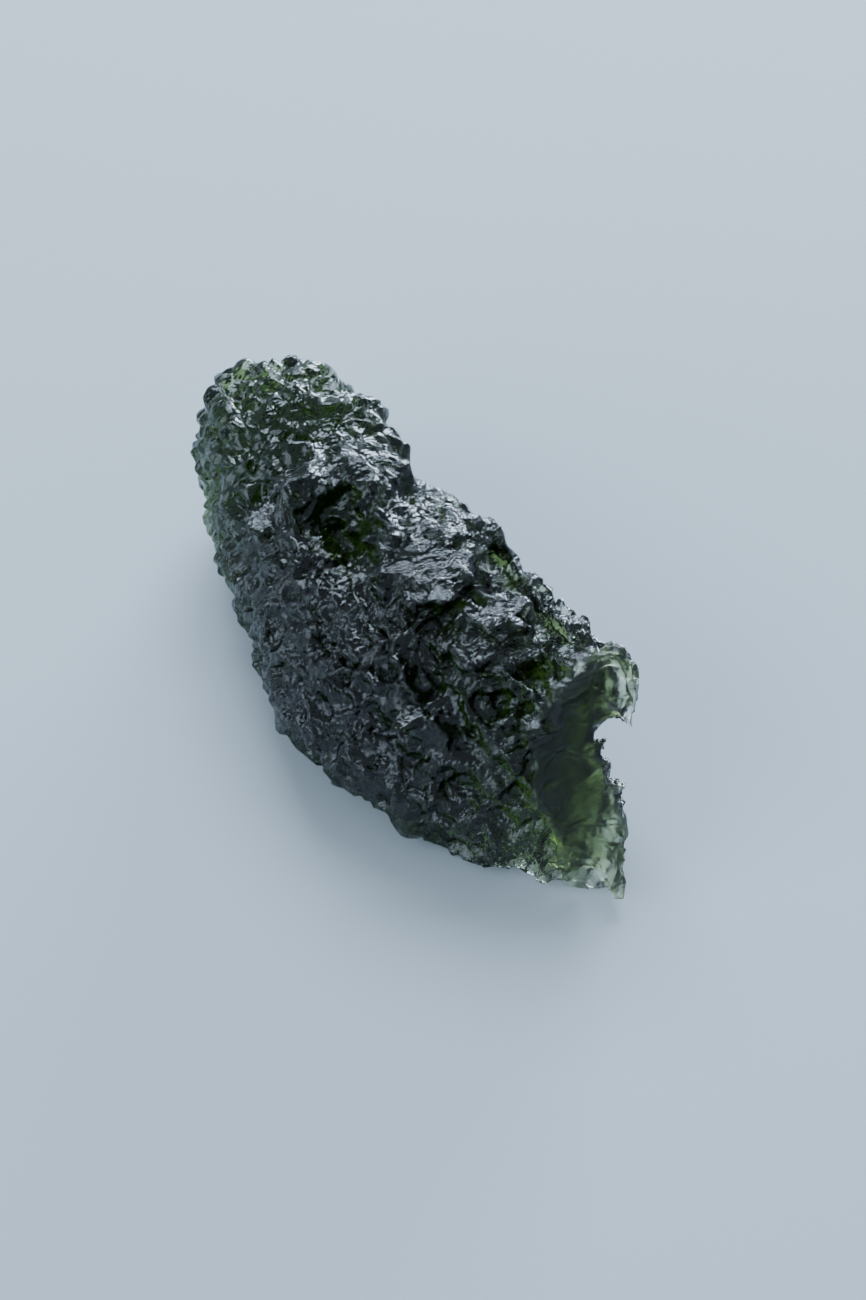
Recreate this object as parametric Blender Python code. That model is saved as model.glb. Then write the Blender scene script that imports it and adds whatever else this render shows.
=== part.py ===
"""A moldavite: one piece of etched natural green glass, with a hollow fracture at its near end.

X runs along the stone, from the rounded far lobe at -X to the broken tip at +X. Shapes are worked out in
millimetres. The last steps put the flat spot that the stone rests on at Z = 0 with the stone's middle above
the origin, and scale the mesh to metres.
"""

import math
from collections import namedtuple

import bmesh
import bpy
from mathutils import Matrix, Vector, noise

# Driving sizes, in millimetres
GRAIN = 0.22
TRIANGLES = 8300
STEPS_AROUND = 56
STEPS_ALONG = 6
SLICE_SIZE = 40
REST_LEVEL = 0.22
METRES_IN_MM = 0.001

# The glass: deep green, clear and shiny
GLASS_COLOUR = (0.09, 0.15, 0.07, 1.0)
GLASS_ROUGHNESS = 0.15
GLASS_IOR = 1.49
GLASS_TRANSMISSION = 0.6

# The body: at each place along X, seven points (Y, Z) around the section
Section = namedtuple("Section", "x foot_left left shoulder crest ridge right foot_right")
SECTIONS = (
    Section(-14.0, (0.7, 4.2), (0.4, 4.7), (0.6, 5.2), (1.0, 5.4), (1.4, 5.2), (1.6, 4.7), (1.3, 4.2)),
    Section(-13.5, (0.0, 3.0), (-0.8, 4.6), (-0.3, 6.0), (0.8, 6.6), (2.2, 6.2), (2.8, 4.8), (1.8, 2.9)),
    Section(-12.7, (-0.9, 1.7), (-1.9, 4.1), (-1.5, 6.0), (0.2, 7.3), (2.8, 7.1), (3.9, 5.1), (2.7, 2.0)),
    Section(-10.2, (-1.3, 0.9), (-2.7, 3.6), (-2.4, 6.2), (-0.5, 8.0), (2.9, 7.7), (4.5, 5.4), (2.8, 1.5)),
    Section(-7.6, (-1.7, 0.8), (-3.3, 3.4), (-2.9, 5.8), (-1.0, 7.6), (2.9, 7.2), (4.5, 5.3), (2.8, 1.4)),
    Section(-5.4, (-2.2, 0.6), (-4.0, 3.2), (-3.4, 6.0), (-1.3, 8.3), (2.5, 8.1), (4.2, 5.3), (2.7, 1.1)),
    Section(-2.5, (-2.9, 0.4), (-4.8, 3.0), (-3.9, 6.3), (-1.2, 8.8), (3.0, 8.4), (4.8, 5.4), (2.8, 0.7)),
    Section(0.5, (-3.1, 0.35), (-5.2, 2.7), (-3.9, 6.3), (-0.8, 9.0), (3.3, 8.6), (5.2, 5.5), (2.9, 0.6)),
    Section(3.5, (-2.7, 0.35), (-4.8, 2.4), (-3.6, 5.8), (-1.0, 8.6), (3.5, 8.4), (5.3, 5.6), (3.1, 0.6)),
    Section(6.5, (-2.0, 0.35), (-3.6, 2.1), (-2.9, 4.8), (-0.7, 7.4), (4.0, 8.3), (5.5, 6.0), (3.4, 1.0)),
    Section(9.0, (-0.7, 0.35), (-1.9, 1.7), (-1.3, 3.7), (0.4, 6.1), (4.5, 8.4), (5.6, 6.8), (3.6, 1.4)),
    Section(11.3, (0.9, 0.25), (0.3, 1.3), (0.4, 2.9), (1.1, 4.7), (4.0, 6.2), (4.3, 4.4), (3.6, 1.1)),
    Section(12.8, (2.2, 0.55), (1.8, 1.3), (1.8, 2.3), (2.2, 3.4), (3.3, 3.9), (3.6, 2.3), (3.1, 0.8)),
    Section(14.2, (2.4, 0.8), (2.2, 1.1), (2.3, 1.5), (2.5, 1.9), (2.8, 2.0), (3.0, 1.5), (2.8, 0.9)),
)

# The fracture: a slanted plane takes the near end off, and a trough hollows it, down to its narrow foot
END_POINT = (14.1, 2.9, 0.0)
END_NORMAL = (0.857, 0.0, 0.514)
Ring = namedtuple("Ring", "x y z radius")
TROUGH = (
    Ring(10.2, 3.9, 10.0, 2.0),
    Ring(10.75, 3.3, 8.0, 2.05),
    Ring(11.2, 2.75, 6.3, 2.35),
    Ring(11.9, 2.35, 5.0, 2.1),
    Ring(12.6, 2.0, 3.0, 1.3),
    Ring(12.6, 1.45, 1.0, 0.7),
    Ring(12.5, 1.1, -1.0, 0.5),
)
TROUGH_SIDES = 36
TROUGH_STEPS = 7
WAVE_SIZE = 1.4
WAVE_SQUEEZE = 2.2
WAVE_DEPTH = 0.28

# The thin edge beside it, seen along CHIP_RUN: a row of chips broken out of it, from the hook down to the tip.
# Each chip starts at a cusp (across, up) from CHIP_CENTRE, and bows this far into the stone before the next cusp.
CHIP_RUN = (0.635, -0.337, 0.695)
CHIP_ACROSS = (0.469, 0.883, 0.0)
CHIP_UP = (-0.613, 0.326, 0.719)
CHIP_CENTRE = (10.8, 4.1, 4.5)
CHIP_DEPTH = 14
CHIP_REACH = 4
CHIP_STEPS = 8
CHIPS = (
    ((0.42, 1.38), 0.56),
    ((-1.10, 1.30), 0.05),
    ((-0.98, 1.00), 0.0),
    ((-0.64, 1.09), 0.33),
    ((-0.41, 0.30), 0.45),
    ((0.15, -0.52), 0.14),
    ((0.03, -1.18), 0.03),
    ((0.16, -2.45), 0.10),
    ((0.12, -3.39), 0.02),
    ((-0.03, -4.90), 0.0),
)

# Round lumps and hollows: place, radius, and how far the surface rises
MOUNDS = (
    ((-8.6, 4.3, 6.7), 1.9, 0.38),
    ((-12.9, -0.4, 6.2), 1.8, 0.35),
    ((-12.3, -1.8, 4.4), 2.0, 0.15),
    ((-10.5, 2.6, 8.4), 1.2, -0.5),
    ((-4.7, -1.3, 8.2), 1.3, 0.5),
    ((-4.8, 0.9, 8.4), 1.4, 0.6),
    ((-3.9, 2.6, 8.4), 1.3, 0.4),
    ((-6.6, -2.6, 6.4), 1.5, -0.6),
    ((-5.6, -3.3, 6.2), 1.2, 0.4),
    ((-2.8, -0.8, 8.6), 2.1, -2.1),
    ((-0.9, -1.5, 8.8), 2.0, -1.5),
    ((0.3, 3.9, 8.2), 1.3, 0.75),
    ((5.4, -1.2, 7.9), 1.6, -0.5),
    ((3.2, -3.6, 6.4), 1.8, 0.3),
    ((5.9, -2.9, 4.6), 1.8, -0.4),
)

# The low swelling underneath that is worn flat: place, radius, and how far it stands out
FOOT_PLACE = (-0.3, 0.2, 0.3)
FOOT_RADIUS = 5.2
FOOT_DEPTH = 0.45

# Long furrows, and ridges where the depth is negative: start, end, half width and depth
FURROWS = (
    ((1.7, 4.0, 7.8), (6.8, 3.5, 8.1), 0.65, 0.65),
    ((2.5, 5.0, 6.9), (7.2, 5.0, 6.9), 0.75, -0.38),
    ((4.6, -1.9, 7.9), (8.3, -0.9, 6.3), 0.60, 0.45),
    ((7.9, -0.3, 6.6), (10.6, 0.5, 4.6), 0.50, -0.30),
)

# Plates on the top, whose upper faces climb towards +X and end in a step: middle (X, Y), half sizes, rise
PLATES = (
    ((1.6, 1.2), (2.5, 2.1), 0.50),
    ((5.2, 1.5), (1.3, 1.4), 0.50),
    ((6.5, 0.4), (1.3, 1.7), 0.40),
    ((8.8, 0.3), (1.0, 1.5), 0.45),
    ((8.8, 3.0), (0.9, 1.1), 0.30),
)
PLATE_EDGE = 0.18

PLATE_LEVEL = 0.6
PLATE_CLIMB = 0.4

# Small ledges on the top, which is where the surface faces up, from the middle to the broken end
TOP_START = -1.5
TOP_BLEND = 2.0
TOP_SLOPE = 1.6
TOP_OFFSET = 0.5
LEDGE_SIZE = 1.3
LEDGE_RISE = 0.12
LEDGE_CLIMB = 2.0
LEDGE_STRETCH = 0.7
LEDGE_STEP_SPREAD = 7.3

# Hollow cups all over, shallower on the top: size and depth of each kind
CUP_SIZES = ((2.3, 0.30), (1.25, 0.20))
CUP_EDGE = 0.62
CUP_HIGHEST = 1.2
CUP_LOSS_ON_TOP = 0.55

# Bends every outline a little, so that nothing on the stone is straight
BEND_SCALE = 0.45
BEND_SIZE = 0.9
BEND_SEED = 3


def catmull(before, start, end, after, t):
    """A point on the smooth curve that passes through start at t = 0 and end at t = 1."""
    return 0.5 * (
        2 * start
        + (end - before) * t
        + (2 * before - 5 * start + 4 * end - after) * t * t
        + (3 * start - before - 3 * end + after) * t ** 3
    )


def closed_curve(points, steps):
    """Evenly numbered points on a smooth closed curve through the points given."""
    count = len(points)
    curve = []
    for step in range(steps):
        place = step * count / steps
        index = int(place)
        around = [points[(index + offset) % count] for offset in (-1, 0, 1, 2)]
        curve.append(catmull(*around, place - index))
    return curve


def body_rings():
    """Rings of points along the stone, smooth around each section and from one section to the next."""
    rings = []
    for section in SECTIONS:
        corners = [Vector((section.x, y, z)) for y, z in section[1:]]
        rings.append(closed_curve(corners, STEPS_AROUND))
    last = len(rings) - 1
    smooth = []
    for index in range(last):
        around = [rings[min(max(index + offset, 0), last)] for offset in (-1, 0, 1, 2)]
        for step in range(STEPS_ALONG):
            t = step / STEPS_ALONG
            smooth.append([catmull(*points, t) for points in zip(*around)])
    smooth.append(rings[last])
    return smooth


def new_object(name, bm):
    mesh = bpy.data.meshes.new(name)
    bm.to_mesh(mesh)
    bm.free()
    obj = bpy.data.objects.new(name, mesh)
    bpy.context.collection.objects.link(obj)
    return obj


def skin(name, rings):
    """A closed object through rings of points, with a flat cap on the first and the last."""
    bm = bmesh.new()
    rings = [[bm.verts.new(point) for point in ring] for ring in rings]
    count = len(rings[0])
    for near, far in zip(rings, rings[1:]):
        for i in range(count):
            j = (i + 1) % count
            bm.faces.new((near[i], near[j], far[j], far[i]))
    bm.faces.new(rings[0])
    bm.faces.new(rings[-1])
    bmesh.ops.recalc_face_normals(bm, faces=bm.faces)
    return new_object(name, bm)


def trough():
    """The cutter of the fracture: level rings down its run, with shallow waves around its wall."""
    last = len(TROUGH) - 1
    rings = []
    for index in range(last):
        around = [Vector(TROUGH[min(max(index + offset, 0), last)]) for offset in (-1, 0, 1, 2)]
        for step in range(TROUGH_STEPS):
            middle = catmull(*around, step / TROUGH_STEPS)
            ring = []
            for side in range(TROUGH_SIDES):
                angle = 2 * math.pi * side / TROUGH_SIDES
                wall = Vector((math.cos(angle), math.sin(angle), 0))
                point = middle.xyz + wall * middle.w
                wave = noise.noise(Vector((point.x, point.y, point.z * WAVE_SQUEEZE)) / WAVE_SIZE)
                ring.append(point + wall * wave * WAVE_DEPTH)
            rings.append(ring)
    return skin("trough", rings)


def chips():
    """The cutter of the thin edge: everything outside its line of chips, in one straight-sided block."""
    line = []
    for (start, bow), (end, _) in zip(CHIPS, CHIPS[1:]):
        chord = Vector(end) - Vector(start)
        inward = Vector((chord.y, -chord.x)).normalized()
        for step in range(CHIP_STEPS):
            t = step / CHIP_STEPS
            line.append(Vector(start) + chord * t + inward * bow * math.sin(math.pi * t))
    line.append(Vector(CHIPS[-1][0]))
    line.append(Vector((CHIP_REACH, line[-1].y)))
    line.append(Vector((CHIP_REACH, line[0].y)))
    rings = []
    for offset in (-CHIP_DEPTH / 2, CHIP_DEPTH / 2):
        middle = Vector(CHIP_CENTRE) + Vector(CHIP_RUN) * offset
        rings.append([middle + Vector(CHIP_ACROSS) * point.x + Vector(CHIP_UP) * point.y for point in line])
    return skin("chips", rings)


def bake(obj):
    """Turns an object's modifiers into its mesh."""
    depsgraph = bpy.context.evaluated_depsgraph_get()
    mesh = bpy.data.meshes.new_from_object(obj.evaluated_get(depsgraph))
    obj.modifiers.clear()
    old = obj.data
    obj.data = mesh
    bpy.data.meshes.remove(old)


def even_mesh(obj, grain):
    remesh = obj.modifiers.new("even", "REMESH")
    remesh.mode = "VOXEL"
    remesh.voxel_size = grain
    bake(obj)


def cut(obj, cutter):
    boolean = obj.modifiers.new("cut", "BOOLEAN")
    boolean.operation = "DIFFERENCE"
    boolean.object = cutter
    bake(obj)
    bpy.data.objects.remove(cutter)


def slice_off(obj, point, normal):
    """Cuts everything off on the normal's side of a plane, and leaves a flat face."""
    bm = bmesh.new()
    turn = Vector(normal).to_track_quat("Z", "Y").to_matrix().to_4x4()
    centre = Vector(point) + Vector(normal).normalized() * SLICE_SIZE / 2
    bmesh.ops.create_cube(bm, size=SLICE_SIZE, matrix=Matrix.Translation(centre) @ turn)
    cut(obj, new_object("slice", bm))


def clamp(value):
    return min(max(value, 0.0), 1.0)


def falloff(distance, radius):
    """1 at the middle of a round feature, falling smoothly to 0 at its radius."""
    return max(0.0, 1 - (distance / radius) ** 2) ** 2


def distance_to_run(point, start, end):
    along = end - start
    t = clamp((point - start).dot(along) / along.length_squared)
    return (point - start - along * t).length


def cup(point, size):
    """Bowls side by side with sharp rims between them: -1 in a bowl's middle, up to 0.44 on a rim."""
    nearest = noise.voronoi(point / size)[0][0]
    return min(nearest / CUP_EDGE, CUP_HIGHEST) ** 2 - 1


def plate(point, middle, half_sizes, rise):
    along = (point.x - middle[0]) / half_sizes[0]
    across = (point.y - middle[1]) / half_sizes[1]
    inside = clamp((1 - math.hypot(along, across)) / PLATE_EDGE)
    return rise * inside * (PLATE_LEVEL + PLATE_CLIMB * along)


def ledge(point):
    """Overlapping flakes that rise slowly towards +X and end in a step."""
    place = Vector((point.x, point.y * LEDGE_STRETCH, point.z * LEDGE_STRETCH)) / LEDGE_SIZE
    middle = noise.voronoi(place)[1][0]
    return (place.x - middle.x) * LEDGE_CLIMB + noise.cell(middle * LEDGE_STEP_SPREAD) - 0.5


def relief(point, normal):
    """How far the surface moves along its normal at a point."""
    rise = sum(height * falloff((point - Vector(place)).length, radius) for place, radius, height in MOUNDS)
    for start, end, half_width, depth in FURROWS:
        rise -= depth * falloff(distance_to_run(point, Vector(start), Vector(end)), half_width)
    foot = falloff((point - Vector(FOOT_PLACE)).length, FOOT_RADIUS)
    rise += FOOT_DEPTH * foot
    bent = point + noise.noise_vector(point * BEND_SCALE) * BEND_SIZE
    top = clamp(normal.z * TOP_SLOPE - TOP_OFFSET) * clamp((point.x - TOP_START) / TOP_BLEND)
    rise += LEDGE_RISE * ledge(bent) * top
    rise += top * sum(plate(bent, middle, half_sizes, height) for middle, half_sizes, height in PLATES)
    for size, depth in CUP_SIZES:
        rise += depth * cup(bent, size) * (1 - CUP_LOSS_ON_TOP * top) * (1 - foot)
    return rise


def roughen(obj):
    bm = bmesh.new()
    bm.from_mesh(obj.data)
    bm.normal_update()
    moves = [vert.normal * relief(vert.co, vert.normal) for vert in bm.verts]
    for vert, move in zip(bm.verts, moves):
        vert.co += move
    bm.to_mesh(obj.data)
    bm.free()


def drop_crumbs(obj):
    """Keeps the largest piece, because a chip can free a crumb of the thin edge."""
    bm = bmesh.new()
    bm.from_mesh(obj.data)
    waiting = set(bm.verts)
    pieces = []
    while waiting:
        edge = [waiting.pop()]
        piece = list(edge)
        while edge:
            joined = {link.other_vert(vert) for vert in edge for link in vert.link_edges} & waiting
            waiting -= joined
            edge = list(joined)
            piece += edge
        pieces.append(piece)
    pieces.sort(key=len)
    bmesh.ops.delete(bm, geom=[vert for piece in pieces[:-1] for vert in piece], context="VERTS")
    bm.to_mesh(obj.data)
    bm.free()


def settle(obj):
    """Cuts the resting spot, puts it at Z = 0 under the middle of the stone, and scales to metres."""
    slice_off(obj, (0, 0, REST_LEVEL), (0, 0, -1))
    xs = [vert.co.x for vert in obj.data.vertices]
    ys = [vert.co.y for vert in obj.data.vertices]
    middle = Vector(((min(xs) + max(xs)) / 2, (min(ys) + max(ys)) / 2, REST_LEVEL))
    obj.data.transform(Matrix.Scale(METRES_IN_MM, 4) @ Matrix.Translation(-middle))


def thin_out(obj, triangles):
    decimate = obj.modifiers.new("fewer", "DECIMATE")
    decimate.ratio = triangles / (2 * len(obj.data.polygons))
    bake(obj)


def glass():
    material = bpy.data.materials.new("moldavite_glass")
    material.use_nodes = True
    shader = material.node_tree.nodes["Principled BSDF"]
    shader.inputs["Base Color"].default_value = GLASS_COLOUR
    shader.inputs["Roughness"].default_value = GLASS_ROUGHNESS
    shader.inputs["Metallic"].default_value = 0.0
    shader.inputs["IOR"].default_value = GLASS_IOR
    shader.inputs["Transmission Weight"].default_value = GLASS_TRANSMISSION
    return material


def main():
    for old in list(bpy.data.objects):
        bpy.data.objects.remove(old)
    noise.seed_set(BEND_SEED)
    stone = skin("moldavite", body_rings())
    even_mesh(stone, GRAIN)
    roughen(stone)
    even_mesh(stone, GRAIN)
    thin_out(stone, TRIANGLES)
    slice_off(stone, END_POINT, END_NORMAL)
    cut(stone, trough())
    cut(stone, chips())
    drop_crumbs(stone)
    settle(stone)
    stone.data.materials.append(glass())


main()
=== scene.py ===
"""The looks of the moldavite: clear deep green glass, with an etched skin worked into the CAD solid's shape.

Shapes are worked out in millimetres, in the frame's own axes, and scaled to metres at the end.
"""

import math
from collections import namedtuple

import bmesh
import bpy
import numpy as np
from mathutils import Matrix, Vector, noise


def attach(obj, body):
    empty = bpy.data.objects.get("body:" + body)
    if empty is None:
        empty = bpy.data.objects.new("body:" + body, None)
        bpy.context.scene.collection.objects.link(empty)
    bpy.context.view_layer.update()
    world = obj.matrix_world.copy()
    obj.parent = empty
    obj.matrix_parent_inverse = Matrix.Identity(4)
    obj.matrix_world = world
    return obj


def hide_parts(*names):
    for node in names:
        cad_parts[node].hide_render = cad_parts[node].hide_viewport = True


# Turn from the camera and elevation in degrees, size in metres, power in watts
Light = namedtuple("Light", "name turn elevation size power")

# Forms of the skin, in millimetres and degrees
Ring = namedtuple("Ring", "x y z radius")
Facet = namedtuple("Facet", "x y half_length half_width turn lift")
Hollow = namedtuple("Hollow", "place radius depth")
Pits = namedtuple("Pits", "size height top_calm")

MM = 0.001
NODE = "moldavite"
SLOT = "moldavite_glass"

# The camera: angles around the stone in degrees, distance, lens and aim in millimetres
CAMERA_AZIMUTH = 62
CAMERA_ELEVATION = 44
CAMERA_DISTANCE = 215
CAMERA_LENS = 155
CAMERA_SENSOR = 36
CAMERA_AIM = (-0.548, 1.950, 1.491)

# The mesh: gap that joins doubled corners, grain, softening of the solid's facets, and triangles kept
CORNER_GAP = 0.001
GRAIN = 0.075
SOFTENING_PASSES = 3
SOFTENING_FACTOR = 0.5
TRIANGLES = 192000

# The skin's lowest level: a hair above the floor, so that the two surfaces don't coincide
REST_GAP = 0.005

# A height that is clear above the stone, where the rays that measure it start
ABOVE = 20

# The top: where it starts along X, and how its share drops as the surface tilts
TOP_START = 0.1
TOP_BLEND = 1.0
TOP_SLOPE = 1.6
TOP_OFFSET = 0.5

# The hollow of the broken end, as rings from its mouth to its foot
TROUGH = (
    Ring(10.34, 3.62, 9.78, 2.0),
    Ring(10.89, 3.02, 7.78, 2.05),
    Ring(11.34, 2.47, 6.08, 2.35),
    Ring(12.04, 2.07, 4.78, 2.1),
    Ring(12.74, 1.72, 2.78, 1.3),
    Ring(12.74, 1.17, 0.78, 0.7),
    Ring(12.64, 0.82, -1.22, 0.5),
)

# How far outside the rings the wall's own finish reaches, and the last part of it where the finish fades
TROUGH_MARGIN = 0.40
TROUGH_FADE = 0.12

# Share of the pits and wrinkles that the wall leaves out
WALL_CALM = 0.85

# The thin rim beyond the hollow, frosted on both sides: where it starts along X, and how satin it is
FROST_START = 11.2
FROST_BLEND = 0.6
FROST_SHARE = 0.9

# The curled flake at the hollow's mouth, thinned from the hollow's side: middle, radius and depth
CURL = (9.2, 3.95, 7.0)
CURL_RADIUS = 1.6
CURL_DEPTH = 1.1

# How sharply the thinning stops where the flake's surface turns away from the hollow
CURL_SIDE = 2

# The frost on that flake: its reach in radii of the thinned place, and how quickly it fades there
CURL_FROST_REACH = 1.4
CURL_FROST_GAIN = 3

# The far lobe, whose knobs are deep and smooth: where it ends along X, and how calm its crinkles are
LOBE_END = -5.5
LOBE_BLEND = 1.5
LOBE_CALM = 0.6

# A smooth furrow along the top of the right side: ends, width, reach in widths, and depth
STRIPE = ((1.9, 3.65, 7.7), (6.6, 3.1, 8.05))
STRIPE_WIDTH = 0.40
STRIPE_REACH = 1.6
STRIPE_DEPTH = 0.80

# Share of the pits and wrinkles that the furrow leaves out
STRIPE_CALM = 0.8

# Level facets on the top, which mirror the window: middle (X, Y), half sizes, turn, and lift above the solid
FACETS = (
    Facet(2.2, 0.6, 2.1, 1.7, 0, 0.08),
    Facet(0.5, 2.3, 0.9, 0.6, 0, 0.10),
    Facet(5.3, 1.65, 0.9, 1.25, 0, 0.10),
    Facet(6.1, 0.25, 0.9, 0.7, 20, 0.10),
    Facet(6.8, 2.1, 0.45, 0.8, 0, 0.06),
    Facet(8.75, 2.3, 0.5, 1.1, -15, 0.06),
    Facet(8.35, 0.3, 0.4, 0.6, 0, 0.08),
    Facet(9.25, 0.95, 0.35, 0.6, 0, 0.08),
    Facet(3.2, -0.9, 0.5, 0.4, 0, 0.12),
    Facet(4.8, -0.6, 0.5, 0.4, 0, 0.12),
    Facet(6.3, -2.6, 0.6, 0.5, 0, 0.15),
    Facet(-5.1, -2.9, 0.9, 0.6, 30, 0.10),
)

# Their ragged outline: width of the edge, depth and scale of the rags
FACET_EDGE = 0.22
FACET_RAG = 0.9
FACET_RAG_SCALE = 1.4

# How near its level a facet takes the surface: fully within the reach, and not at all past this many reaches
FACET_REACH = 0.45
FACET_FADE = 2

# The least upward part of the normal that a facet takes, and how flat it makes the surface
FACET_LEAST_UP = 0.3
FACET_FLATNESS = 0.75

# Dark hollows between them
HOLLOWS = (
    Hollow((1.3, 1.75, 8.9), 0.6, 0.45),
    Hollow((3.5, 2.5, 8.6), 1.1, 0.50),
    Hollow((4.2, 0.2, 8.4), 0.8, 0.35),
    Hollow((7.6, 1.7, 7.6), 0.8, 0.40),
    Hollow((7.9, 0.3, 6.9), 0.6, 0.40),
    Hollow((8.6, 0.95, 6.8), 0.5, 0.40),
    Hollow((-0.2, 0.9, 8.9), 0.9, 0.35),
    Hollow((0.6, 3.0, 8.4), 0.8, 0.40),
    Hollow((-1.5, 2.3, 8.8), 0.9, 0.40),
    Hollow((2.3, 2.9, 8.5), 0.7, 0.40),
)

# Small smooth beads on the rim of the cave, which catch the light: places, radius and height
BEADS = (
    (-4.12, -0.86, 8.13),
    (-4.05, -0.43, 8.16),
    (-2.85, 0.05, 7.85),
    (-1.11, 0.0, 8.82),
    (-2.74, -0.36, 6.98),
    (-0.97, -0.58, 8.01),
    (0.43, -0.30, 9.03),
    (1.90, -1.57, 8.27),
)
BEAD_RADIUS = 0.42
BEAD_HEIGHT = 0.42

# Factor that spreads a bead's smoothness towards its edge
BEAD_CALM = 2

# Pits all over: size, height and the share that the top leaves out
LARGE_PITS = Pits(1.05, 0.29, 0.7)
SMALL_PITS = Pits(0.50, 0.12, 0.5)

# A pit's bowl: its radius in sizes, and how many radii out its slope is cut off
PIT_EDGE = 0.62
PIT_HIGHEST = 1.08

# The far lobe's knobs, which are large pits turned outwards
KNOB_SIZE = 0.95
KNOB_HEIGHT = 0.34

# Flat scars on the top: size and step from one to the next, and tilt
FLAKES = ((1.3, 0.16), (0.55, 0.06))
FLAKE_TILT = 0.8

# Factors on a scar's place that draw its random tilt and level, and the mean of those draws
FLAKE_TILT_DRAW = 5.3
FLAKE_LEVEL_DRAW = 7.7
CELL_MEAN = 0.5

# Wrinkles all over: sizes along X, Y and Z, height, the share away from the top, and what the lobe leaves out
WRINKLE_SIZE = (0.26, 0.70, 0.70)
WRINKLE_HEIGHT = 0.055
WRINKLE_BASE = 0.4
WRINKLE_LOBE_CALM = 0.6

# Level ripples on the hollow's wall: sizes along X, Y and Z, and height
RIPPLE_SIZE = (1.6, 1.6, 0.26)
RIPPLE_HEIGHT = 0.08

# Crests of wrinkles and ripples: factor that makes them about 1 high
RIDGE_GAIN = 2

# A wavering of places, so that nothing looks regular: reach, scale, and shifts that set the axes apart
BEND_SIZE = 0.35
BEND_SCALE = 1.3
BEND_SHIFTS = ((0, 0, 0), (31, 7, 3), (5, 43, 11))

# The glass: clear at the surface, and coloured by what it absorbs
GLASS_COLOUR = (1.0, 1.0, 1.0, 1.0)
GLASS_IOR = 1.49
ABSORPTION_COLOUR = (0.56, 0.66, 0.35, 1.0)
ABSORPTION_DENSITY = 1550

# How much each finer layer of its noises counts against the one before
NOISE_ROUGHNESS = 0.5

# Its sheen, in patches: least and greatest roughness, patch size, detail, and the noise they lie between
SHEEN_ROUGHNESS = (0.08, 0.21)
SHEEN_SIZE = (0.5, 0.5, 0.5)
SHEEN_DETAIL = 3
SHEEN_RANGE = (0.35, 0.65)

# Its finest crinkles, drawn by bump: sizes along X, Y and Z, detail and height
CRINKLE_SIZE = (0.13, 0.28, 0.28)
CRINKLE_DETAIL = 1
CRINKLE_HEIGHT = 0.085

# The satin places: roughness, the bump that is left on them, and how satin the furrow is
SATIN_ROUGHNESS = 0.36
SATIN_BUMP = 0.25
SATIN_STRIPE = 0.7

# A soft window behind the stone, a low glow beside that, and a broad light at the stone's left
LIGHTS = (
    Light("window", 180, 48, (0.22, 0.16), 1.15),
    Light("glow", 160, 9, (0.16, 0.07), 1.35),
    Light("bounce", -60, 28, (0.32, 0.22), 0.75),
)
LIGHT_DISTANCE = 0.30
LIGHT_COLOUR = (0.66, 0.82, 1.0)

# The dim room and the floor, whose half width is in metres
ROOM_COLOUR = (0.46, 0.57, 0.70, 1.0)
ROOM_STRENGTH = 0.82
FLOOR_COLOUR = (0.53, 0.57, 0.60, 1.0)
FLOOR_ROUGHNESS = 0.7
FLOOR_SIZE = 1.2


def direction(azimuth, elevation):
    """From the stone towards a camera or light: azimuth 0 is the -Y side, and 90 the +X side."""
    turn = math.radians(azimuth)
    lift = math.radians(elevation)
    return Vector((math.sin(turn) * math.cos(lift), -math.cos(turn) * math.cos(lift), math.sin(lift)))


def add_camera():
    back = direction(CAMERA_AZIMUTH, CAMERA_ELEVATION)
    data = bpy.data.cameras.new("camera")
    data.lens = CAMERA_LENS
    data.sensor_width = CAMERA_SENSOR
    data.clip_start = MM
    camera = bpy.data.objects.new("camera", data)
    camera.location = (Vector(CAMERA_AIM) + back * CAMERA_DISTANCE) * MM
    camera.rotation_euler = back.to_track_quat("Z", "Y").to_euler()
    bpy.context.collection.objects.link(camera)
    bpy.context.scene.camera = camera


def add_light(light):
    data = bpy.data.lights.new(light.name, "AREA")
    data.shape = "RECTANGLE"
    data.size, data.size_y = light.size
    data.energy = light.power
    data.color = LIGHT_COLOUR
    lamp = bpy.data.objects.new(light.name, data)
    towards = direction(CAMERA_AZIMUTH + light.turn, light.elevation)
    lamp.location = towards * LIGHT_DISTANCE
    lamp.rotation_euler = towards.to_track_quat("Z", "Y").to_euler()
    bpy.context.collection.objects.link(lamp)


def add_room():
    world = bpy.data.worlds.new("room")
    world.use_nodes = True
    background = world.node_tree.nodes["Background"]
    background.inputs["Color"].default_value = ROOM_COLOUR
    background.inputs["Strength"].default_value = ROOM_STRENGTH
    bpy.context.scene.world = world
    for light in LIGHTS:
        add_light(light)


def add_floor():
    bm = bmesh.new()
    bmesh.ops.create_grid(bm, x_segments=1, y_segments=1, size=FLOOR_SIZE)
    mesh = bpy.data.meshes.new("floor")
    bm.to_mesh(mesh)
    bm.free()
    floor = bpy.data.objects.new("floor", mesh)
    bpy.context.collection.objects.link(floor)
    material = bpy.data.materials.new("floor")
    material.use_nodes = True
    shader = material.node_tree.nodes["Principled BSDF"]
    shader.inputs["Base Color"].default_value = FLOOR_COLOUR
    shader.inputs["Roughness"].default_value = FLOOR_ROUGHNESS
    mesh.materials.append(material)


def bake(obj):
    """Turns an object's modifiers into its mesh."""
    depsgraph = bpy.context.evaluated_depsgraph_get()
    mesh = bpy.data.meshes.new_from_object(obj.evaluated_get(depsgraph))
    obj.modifiers.clear()
    old = obj.data
    obj.data = mesh
    bpy.data.meshes.remove(old)


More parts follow.
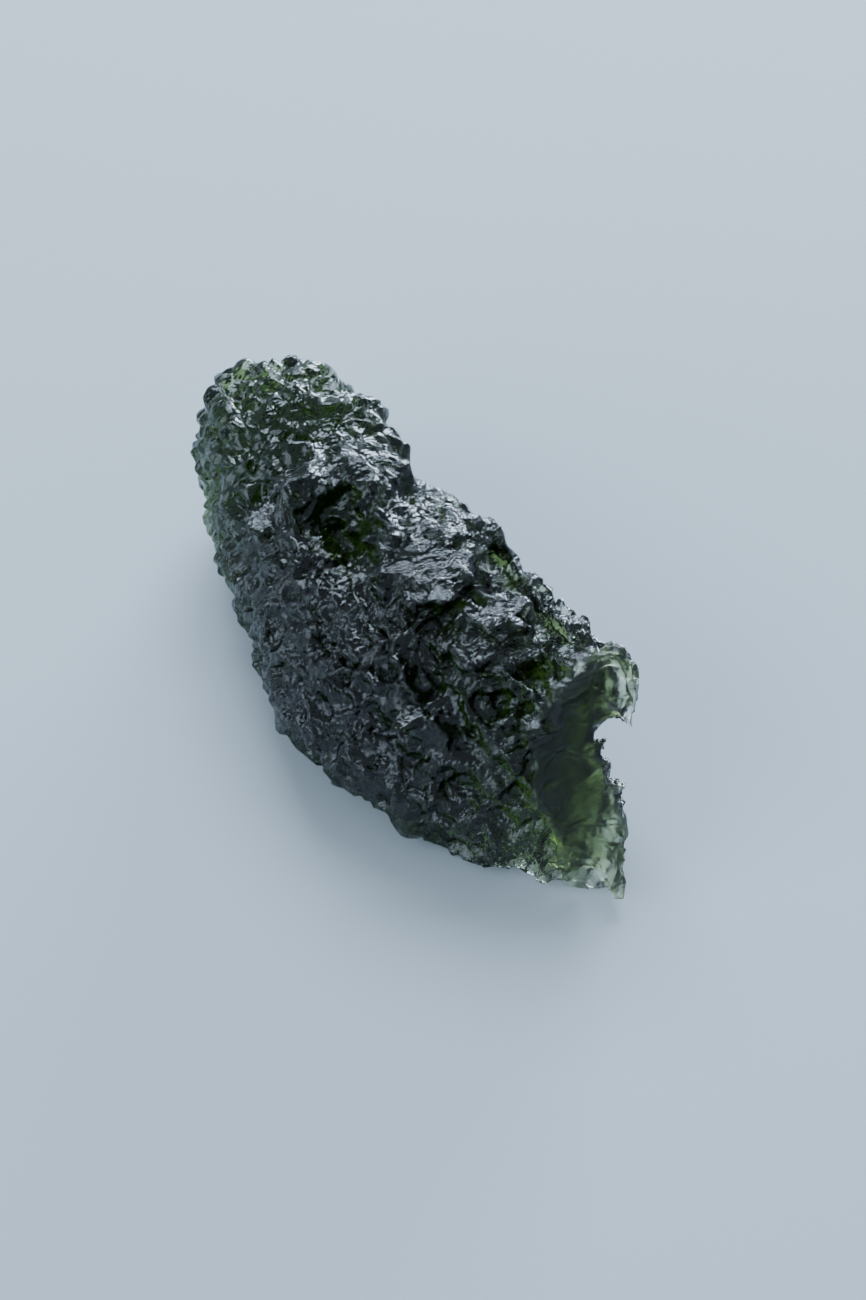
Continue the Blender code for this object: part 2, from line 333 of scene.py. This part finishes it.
def solid_copy(node):
    """The CAD solid's shape in millimetres, with its doubled corners joined."""
    bm = bmesh.new()
    bm.from_mesh(node.data)
    bm.transform(Matrix.Scale(1 / MM, 4))
    bmesh.ops.remove_doubles(bm, verts=bm.verts, dist=CORNER_GAP)
    mesh = bpy.data.meshes.new("skin")
    bm.to_mesh(mesh)
    bm.free()
    piece = bpy.data.objects.new("skin", mesh)
    bpy.context.collection.objects.link(piece)
    return piece


def even_mesh(piece):
    """Cuts the surface into small even faces with four sides."""
    remesh = piece.modifiers.new("even", "REMESH")
    remesh.mode = "VOXEL"
    remesh.voxel_size = GRAIN
    bake(piece)


def soften(piece):
    """Rounds off the solid's facets."""
    smooth = piece.modifiers.new("soft", "SMOOTH")
    smooth.factor = SOFTENING_FACTOR
    smooth.iterations = SOFTENING_PASSES
    bake(piece)


def thin_out(piece):
    """Leaves fewer triangles, and the most of them where the relief is. Each even face is two triangles."""
    decimate = piece.modifiers.new("fewer", "DECIMATE")
    decimate.ratio = TRIANGLES / (2 * len(piece.data.polygons))
    bake(piece)


def clamp(value):
    return min(max(value, 0.0), 1.0)


def falloff(distance, radius):
    """1 at the middle of a round feature, falling smoothly to 0 at its radius."""
    return max(0.0, 1 - (distance / radius) ** 2) ** 2


def distance_to(point, place):
    return (point - Vector(place)).length


def distance_to_run(point, start, end):
    """How far a point is from the straight line between two ends."""
    along = end - start
    t = clamp((point - start).dot(along) / along.length_squared)
    return (point - start - along * t).length


def stretched(point, feature):
    """A point in units of a feature's size along X, Y and Z."""
    return Vector((point.x / feature[0], point.y / feature[1], point.z / feature[2]))


def bend(point):
    """The point, moved a little by a slow noise."""
    shift = Vector([noise.noise(point * BEND_SCALE + Vector(apart)) for apart in BEND_SHIFTS])
    return point + shift * BEND_SIZE


def pit(point, size):
    """Bowls side by side with sharp rims between them."""
    nearest = noise.voronoi(point / size)[0][0]
    return min(nearest / PIT_EDGE, PIT_HIGHEST) ** 2 - 1


def flake(point, size, step):
    """Flat scars side by side, each with its own level and tilt."""
    place = point / size
    middle = noise.voronoi(place)[1][0]
    tilt = noise.cell_vector(middle * FLAKE_TILT_DRAW) - Vector((CELL_MEAN, CELL_MEAN, CELL_MEAN))
    level = noise.cell(middle * FLAKE_LEVEL_DRAW) - CELL_MEAN
    return (place - middle).dot(tilt) * size * FLAKE_TILT + level * step


def ridge(point):
    """Sharp-crested ridges: 0 at a crest and down to about -1 between crests."""
    return -abs(noise.noise(point)) * RIDGE_GAIN


def facet_share(point, facet):
    """1 inside a facet, falling to 0 at its edge."""
    offset = Vector((point.x - facet.x, point.y - facet.y))
    offset.rotate(Matrix.Rotation(math.radians(-facet.turn), 2))
    ragged = math.hypot(offset.x / facet.half_length, offset.y / facet.half_width)
    ragged += FACET_RAG * noise.noise(point * FACET_RAG_SCALE)
    return clamp((1 - ragged) / FACET_EDGE)


def stripe_share(point):
    """1 in the smooth furrow, and 0 away from it."""
    return clamp(STRIPE_REACH - distance_to_run(point, Vector(STRIPE[0]), Vector(STRIPE[1])) / STRIPE_WIDTH)


def bead_share(point):
    """1 at the middle of a bead, and 0 away from the beads."""
    return max(falloff(distance_to(point, place), BEAD_RADIUS) for place in BEADS)


def trough_wall(point):
    """1 on the wall of the broken end's hollow, and 0 away from it."""
    for above, below in zip(TROUGH, TROUGH[1:]):
        if above.z >= point.z >= below.z:
            ring = Ring(*Vector(above).lerp(Vector(below), (above.z - point.z) / (above.z - below.z)))
            distance = math.hypot(point.x - ring.x, point.y - ring.y) - ring.radius
            return clamp((TROUGH_MARGIN - distance) / TROUGH_FADE)
    return 0.0


def frosted_edge(point):
    """1 on both sides of the thin rim around the broken end, and 0 on the rest of the stone."""
    curl = clamp(CURL_FROST_GAIN * falloff(distance_to(point, CURL), CURL_FROST_REACH * CURL_RADIUS))
    return max(clamp((point.x - FROST_START) / FROST_BLEND), curl)


def lobe_share(point):
    """1 on the far lobe, and 0 on the rest of the stone."""
    return clamp((LOBE_END - point.x) / LOBE_BLEND)


def top_share(point, normal):
    """1 where the stone's top is level, and 0 on its sides and on the far lobe."""
    return clamp(normal.z * TOP_SLOPE - TOP_OFFSET) * clamp((point.x - TOP_START) / TOP_BLEND)


def placed_relief(point, normal, stripe):
    """The forms that have a place of their own: furrow, hollows, thinned flake and beads."""
    rise = -STRIPE_DEPTH * stripe
    rise -= sum(hollow.depth * falloff(distance_to(point, hollow.place), hollow.radius) for hollow in HOLLOWS)
    rise -= CURL_DEPTH * falloff(distance_to(point, CURL), CURL_RADIUS) * clamp(-CURL_SIDE * normal.y)
    rise += BEAD_HEIGHT * bead_share(point)
    return rise


def relief(point, normal, levels):
    """How far the surface moves along its normal at a point."""
    bent = bend(point)
    wall = trough_wall(point)
    stripe = stripe_share(point)
    lobe = lobe_share(point)
    top = top_share(point, normal) * (1 - wall) * (1 - stripe)
    calm = (1 - WALL_CALM * wall) * (1 - STRIPE_CALM * stripe)
    rise = placed_relief(point, normal, stripe)
    large = LARGE_PITS.height * pit(bent, LARGE_PITS.size) * (1 - LARGE_PITS.top_calm * top)
    small = SMALL_PITS.height * pit(bent, SMALL_PITS.size) * (1 - SMALL_PITS.top_calm * top)
    rise += large * (1 - lobe) * calm
    rise += small * calm
    if lobe > 0:
        rise -= KNOB_HEIGHT * pit(bent, KNOB_SIZE) * lobe
    if top > 0:
        for size, step in FLAKES:
            rise += flake(bent, size, step) * top
    for facet, level in zip(FACETS, levels):
        drop = abs(level - point.z)
        if drop < FACET_REACH * FACET_FADE and normal.z > FACET_LEAST_UP:
            share = facet_share(bent, facet) * clamp(FACET_FADE - drop / FACET_REACH) * FACET_FLATNESS
            rise += ((level - point.z) / normal.z - rise) * share
    wrinkles = WRINKLE_HEIGHT * ridge(stretched(bent, WRINKLE_SIZE))
    rise += wrinkles * (WRINKLE_BASE + (1 - WRINKLE_BASE) * top) * (1 - WRINKLE_LOBE_CALM * lobe) * calm
    if wall > 0:
        rise += RIPPLE_HEIGHT * ridge(stretched(bent, RIPPLE_SIZE)) * wall
    return rise


def facet_levels(piece):
    """The height of each facet: the stone's own height at its middle, plus its lift."""
    levels = []
    for facet in FACETS:
        _, place, _, _ = piece.ray_cast((facet.x, facet.y, ABOVE), (0, 0, -1))
        levels.append(place.z + facet.lift)
    return levels


def roughen(piece):
    levels = facet_levels(piece)
    bm = bmesh.new()
    bm.from_mesh(piece.data)
    bm.normal_update()
    moves = [vert.normal * relief(vert.co, vert.normal, levels) for vert in bm.verts]
    for vert, move in zip(bm.verts, moves):
        vert.co += move
        vert.co.z = max(vert.co.z, REST_GAP)
    bm.to_mesh(piece.data)
    bm.free()


def mark_finish(piece):
    """Marks each point: satin on the broken end and in the furrow, and calm where crinkles are weaker."""
    satin = piece.data.attributes.new("satin", "FLOAT", "POINT")
    calm = piece.data.attributes.new("calm", "FLOAT", "POINT")
    for vert, satin_mark, calm_mark in zip(piece.data.vertices, satin.data, calm.data):
        smooth = max(trough_wall(vert.co), SATIN_STRIPE * stripe_share(vert.co))
        satin_mark.value = max(smooth, FROST_SHARE * frosted_edge(vert.co))
        quiet = max(clamp(BEAD_CALM * bead_share(vert.co)), LOBE_CALM * lobe_share(vert.co))
        calm_mark.value = max(satin_mark.value, quiet)


def noise_texture(nodes, links, feature, detail):
    """A noise that lies still in the stone. A feature is its size in millimetres along X, Y and Z."""
    coordinates = nodes.new("ShaderNodeTexCoord")
    mapping = nodes.new("ShaderNodeMapping")
    mapping.inputs["Scale"].default_value = [1 / (size * MM) for size in feature]
    links.new(coordinates.outputs["Object"], mapping.inputs["Vector"])
    texture = nodes.new("ShaderNodeTexNoise")
    texture.inputs["Scale"].default_value = 1.0
    texture.inputs["Detail"].default_value = detail
    texture.inputs["Roughness"].default_value = NOISE_ROUGHNESS
    links.new(mapping.outputs["Vector"], texture.inputs["Vector"])
    return texture.outputs["Fac"]


def mark_value(nodes, name):
    """A value that is stored on the mesh's points."""
    mark = nodes.new("ShaderNodeAttribute")
    mark.attribute_name = name
    return mark.outputs["Fac"]


def add_finish(nodes, links, shader):
    """Roughness: a patchy sheen, and satin where the surface is marked so."""
    sheen = nodes.new("ShaderNodeMapRange")
    sheen.inputs["From Min"].default_value, sheen.inputs["From Max"].default_value = SHEEN_RANGE
    sheen.inputs["To Min"].default_value, sheen.inputs["To Max"].default_value = SHEEN_ROUGHNESS
    links.new(noise_texture(nodes, links, SHEEN_SIZE, SHEEN_DETAIL), sheen.inputs["Value"])
    finish = nodes.new("ShaderNodeMix")
    finish.inputs["B"].default_value = SATIN_ROUGHNESS
    links.new(mark_value(nodes, "satin"), finish.inputs["Factor"])
    links.new(sheen.outputs["Result"], finish.inputs["A"])
    links.new(finish.outputs["Result"], shader.inputs["Roughness"])


def add_crinkles(nodes, links, shader):
    """Bump: fine crinkles, weaker where the surface is marked calm."""
    strength = nodes.new("ShaderNodeMapRange")
    strength.inputs["To Min"].default_value = 1.0
    strength.inputs["To Max"].default_value = SATIN_BUMP
    links.new(mark_value(nodes, "calm"), strength.inputs["Value"])
    crinkles = nodes.new("ShaderNodeBump")
    crinkles.inputs["Distance"].default_value = CRINKLE_HEIGHT * MM
    links.new(strength.outputs["Result"], crinkles.inputs["Strength"])
    links.new(noise_texture(nodes, links, CRINKLE_SIZE, CRINKLE_DETAIL), crinkles.inputs["Height"])
    links.new(crinkles.outputs["Normal"], shader.inputs["Normal"])


def glass():
    material = bpy.data.materials.new(SLOT)
    material.use_nodes = True
    nodes = material.node_tree.nodes
    links = material.node_tree.links
    shader = nodes["Principled BSDF"]
    shader.inputs["Base Color"].default_value = GLASS_COLOUR
    shader.inputs["IOR"].default_value = GLASS_IOR
    shader.inputs["Transmission Weight"].default_value = 1.0
    add_finish(nodes, links, shader)
    add_crinkles(nodes, links, shader)
    absorption = nodes.new("ShaderNodeVolumeAbsorption")
    absorption.inputs["Color"].default_value = ABSORPTION_COLOUR
    absorption.inputs["Density"].default_value = ABSORPTION_DENSITY
    links.new(absorption.outputs["Volume"], nodes["Material Output"].inputs["Volume"])
    return material


def add_skin(node):
    """The stone's surface in full detail, which stands for the CAD node."""
    piece = solid_copy(node)
    even_mesh(piece)
    soften(piece)
    roughen(piece)
    thin_out(piece)
    mark_finish(piece)
    piece.data.transform(Matrix.Scale(MM, 4))
    piece.data.materials.clear()
    piece.data.materials.append(glass())
    piece.data.polygons.foreach_set("use_smooth", np.ones(len(piece.data.polygons), bool))
    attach(piece, "root")
    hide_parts(NODE)


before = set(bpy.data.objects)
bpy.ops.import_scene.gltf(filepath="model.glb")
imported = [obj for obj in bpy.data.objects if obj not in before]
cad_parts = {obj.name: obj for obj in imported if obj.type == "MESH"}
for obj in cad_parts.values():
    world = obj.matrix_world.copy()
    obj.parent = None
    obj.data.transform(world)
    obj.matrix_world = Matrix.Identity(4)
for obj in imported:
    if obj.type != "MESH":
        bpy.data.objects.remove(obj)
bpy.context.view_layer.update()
add_camera()
add_room()
add_floor()
add_skin(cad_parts[NODE])
